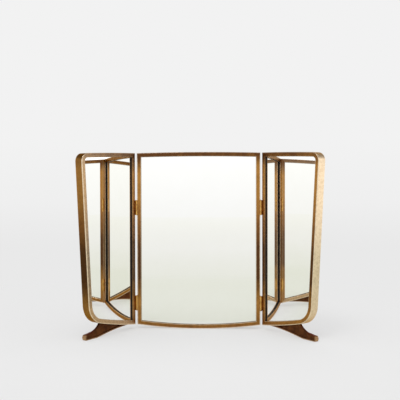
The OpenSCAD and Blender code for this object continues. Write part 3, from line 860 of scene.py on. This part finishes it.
class MIRROR_OT_studio(bpy.types.Operator):
    """Set up the floor, backdrop, lights and camera"""

    bl_idname = "mirror.studio"
    bl_label = "Studio"

    # each lamp's name, place, target, width and height, all in metres, and power in watts
    lamps = (
        ("soft_key", (-0.5, -1.6, 3.2), (0.0, 0.0, 0.3), (1.1, 1.1), 25.0),
        ("soft_top", (0.6, 0.9, 3.0), (0.0, 0.0, 0.3), (1.4, 1.4), 9.0),
        ("right_strip", (2.3, 0.05, 0.55), (0.3, 0.0, 0.35), (1.1, 1.5), 2.4),
    )

    def execute(self, context):
        studio = context.scene.mirror_studio
        self.sweep(studio)
        self.sky(context.scene, studio)
        for lamp in self.lamps:
            self.lamp(*lamp)
        self.camera(context.scene, studio)
        return {"FINISHED"}

    def sweep(self, studio):
        """A seamless sweep: a flat floor, a quarter round and an upright wall behind."""
        half_width, front, back, radius, height, steps = 9.0, -9.0, 3.0, 2.0, 7.0, 24
        turn = np.linspace(0.0, math.pi / 2, steps)
        y = np.concatenate([[front], back + radius * np.sin(turn), [back + radius]])
        z = np.concatenate([[0.0], radius - radius * np.cos(turn), [height]])
        points = np.concatenate([np.stack([np.full(len(y), x), y, z], 1)
                                 for x in (-half_width, half_width)])
        first = np.arange(len(y) - 1)
        faces = np.stack([first, first + len(y), first + len(y) + 1, first + 1], 1)
        mesh = bpy.data.meshes.new("studio_sweep")
        mesh.from_pydata(points.tolist(), [], faces.tolist())
        mesh.shade_smooth()
        mesh.materials.append(self.paper(studio))
        floor = bpy.data.objects.new("studio_sweep", mesh)
        bpy.context.scene.collection.objects.link(floor)

    def paper(self, studio):
        """Matt white-grey paper, which away from the mirror shows its own even colour.

        Near the mirror two fifths of it is lit, which keeps the soft shadow. Further off it
        shows the backdrop's colour by height. In the glass, what lies before the mirror or far
        beside it has colours of its own.
        """
        material, tree, bsdf, place = new_material(
            "studio_paper", Base_Color=studio.floor, Roughness=0.9, Specular_IOR_Level=0.1)
        part = add_node(tree, "ShaderNodeSeparateXYZ", [(place, "Vector")])
        flat = add_node(tree, "ShaderNodeMapping", [(place, "Vector")], in_Scale=(1.0, 1.0, 0.0))
        away = add_node(tree, "ShaderNodeVectorMath", [(flat, 0)], operation="LENGTH")
        far = add_node(tree, "ShaderNodeMapRange", [(away.outputs["Value"], "Value")],
                       interpolation_type="SMOOTHSTEP", in_From_Min=0.45, in_From_Max=1.3,
                       in_To_Min=0.6)
        wall = add_node(tree, "ShaderNodeValToRGB", [(part.outputs["Z"], "Fac")], stops=(
            (0.0, studio.wall_low), (0.35, studio.wall_mid), (1.0, studio.wall_high)))
        # how far the paper lies before the mirror, or more than 1.2 m beside it
        across = add_node(tree, "ShaderNodeMath", [(part.outputs["X"], 0)], operation="ABSOLUTE")
        beside = add_node(tree, "ShaderNodeMath", [(across, 0)], operation="SUBTRACT", in_1=1.2)
        before = add_node(tree, "ShaderNodeMath", [(part.outputs["Y"], 0)], operation="MULTIPLY",
                          in_1=-1.0)
        beyond = add_node(tree, "ShaderNodeMath", [(beside, 0), (before, 1)], operation="MAXIMUM")
        front = add_node(tree, "ShaderNodeMapRange", [(beyond, "Value")], in_From_Min=0.5,
                         in_From_Max=8.5)
        # in the glass the paper is a greenish grey near by and paler far off
        mirrored = add_node(tree, "ShaderNodeValToRGB", [(front, "Fac")], stops=(
            (0.0, studio.glass_near), (0.11, studio.glass_low), (0.3, studio.glass_mid),
            (0.76, studio.glass_high), (1.0, studio.glass_far)))
        path = add_node(tree, "ShaderNodeLightPath")
        begun = add_node(tree, "ShaderNodeMapRange", [(beyond, "Value")], in_From_Min=0.02,
                         in_From_Max=0.15)
        in_glass = add_node(tree, "ShaderNodeMath",
                            [(begun, 0), (path.outputs["Is Glossy Ray"], 1)],
                            operation="MULTIPLY")
        pale = add_node(tree, "ShaderNodeMix", [(in_glass, 0), (wall, 6), (mirrored, 7)],
                        data_type="RGBA")
        glow = add_node(tree, "ShaderNodeEmission", [(pale, "Color")])
        seen = add_node(tree, "ShaderNodeMath", [(path.outputs["Is Camera Ray"], 0),
                                                 (path.outputs["Is Glossy Ray"], 1)],
                        operation="MAXIMUM")
        amount = add_node(tree, "ShaderNodeMath", [(seen, 0), (far, 1)], operation="MULTIPLY")
        both = add_node(tree, "ShaderNodeMixShader", [(amount, 0), (bsdf, 1), (glow, 2)])
        tree.links.new(both.outputs[0], tree.nodes["Material Output"].inputs["Surface"])
        return material

    def sky(self, scene, studio):
        """An even pale world; where it is mirrored, it is dimmer overhead."""
        world = bpy.data.worlds.new("studio_world")
        scene.world = world
        world.use_nodes = True
        tree = world.node_tree
        background = tree.nodes["Background"]
        background.inputs["Color"].default_value = studio.sky
        path = add_node(tree, "ShaderNodeLightPath")
        direction = add_node(tree, "ShaderNodeTexCoord").outputs["Generated"]
        part = add_node(tree, "ShaderNodeSeparateXYZ", [(direction, "Vector")])
        above = add_node(tree, "ShaderNodeMapRange", [(part.outputs["Z"], "Value")],
                         interpolation_type="SMOOTHSTEP", in_From_Min=0.3, in_From_Max=0.8,
                         in_To_Min=1.0, in_To_Max=0.3)
        rise = add_node(tree, "ShaderNodeMapRange", [(part.outputs["Z"], "Value")],
                        in_From_Min=-0.06, in_From_Max=0.05, in_To_Min=0.93, in_To_Max=1.04)
        strength = add_node(tree, "ShaderNodeMath", [(above, 0), (rise, 1)], operation="MULTIPLY")
        # in_2 is the strength for every ray that isn't mirrored
        either = add_node(tree, "ShaderNodeMix", [(path.outputs["Is Glossy Ray"], 0),
                                                  (strength, 3)], in_2=0.86)
        tree.links.new(either.outputs[0], background.inputs["Strength"])

    def lamp(self, name, place, target, size, power):
        """An area lamp of width and height size that faces target."""
        light = bpy.data.lights.new(name, "AREA")
        light.shape = "RECTANGLE"
        light.size, light.size_y = size
        light.energy = power
        lamp = bpy.data.objects.new(name, light)
        lamp.location = place
        aim = np.array(target) - np.array(place)
        flat = math.hypot(aim[0], aim[1])
        lamp.rotation_euler = (math.atan2(flat, -aim[2]), 0.0, math.atan2(-aim[0], aim[1]))
        bpy.context.scene.collection.objects.link(lamp)

    def camera(self, scene, studio):
        """The photograph's view: a long lens a little over two metres away."""
        data = bpy.data.cameras.new("camera")
        data.sensor_width = 36.0
        data.lens = studio.focal * data.sensor_width
        data.shift_x, data.shift_y = studio.shift_x, studio.shift_y
        data.clip_start = 0.05
        camera = bpy.data.objects.new("camera", data)
        camera.location = studio.camera_at
        camera.rotation_euler = studio.camera_turn
        scene.collection.objects.link(camera)
        scene.camera = camera
        scene.view_settings.view_transform = "Standard"


OPERATORS = (MIRROR_OT_finishes, MIRROR_OT_centre_bars, MIRROR_OT_wing_bars, MIRROR_OT_feet,
             MIRROR_OT_screws, MIRROR_OT_studio)


class MIRROR_PT_panel(bpy.types.Panel):
    """Lists the steps that build the mirror"""

    bl_idname = "MIRROR_PT_panel"
    bl_label = "Dressing Mirror"
    bl_space_type = "VIEW_3D"
    bl_region_type = "UI"
    bl_category = "Dressing Mirror"

    def draw(self, context):
        for operator in OPERATORS:
            self.layout.operator(operator.bl_idname)


CLASSES = (MirrorSizes, MirrorFinish, StudioSettings) + OPERATORS + (MIRROR_PT_panel,)


def register():
    for item in CLASSES:
        bpy.utils.register_class(item)
    bpy.types.Scene.mirror_sizes = PointerProperty(type=MirrorSizes)
    bpy.types.Scene.mirror_finish = PointerProperty(type=MirrorFinish)
    bpy.types.Scene.mirror_studio = PointerProperty(type=StudioSettings)


def unregister():
    del bpy.types.Scene.mirror_studio
    del bpy.types.Scene.mirror_finish
    del bpy.types.Scene.mirror_sizes
    for item in reversed(CLASSES):
        bpy.utils.unregister_class(item)


def main():
    register()
    for operator in OPERATORS:
        group, name = operator.bl_idname.split(".")
        getattr(getattr(bpy.ops, group), name)()


if __name__ == "__main__":
    main()
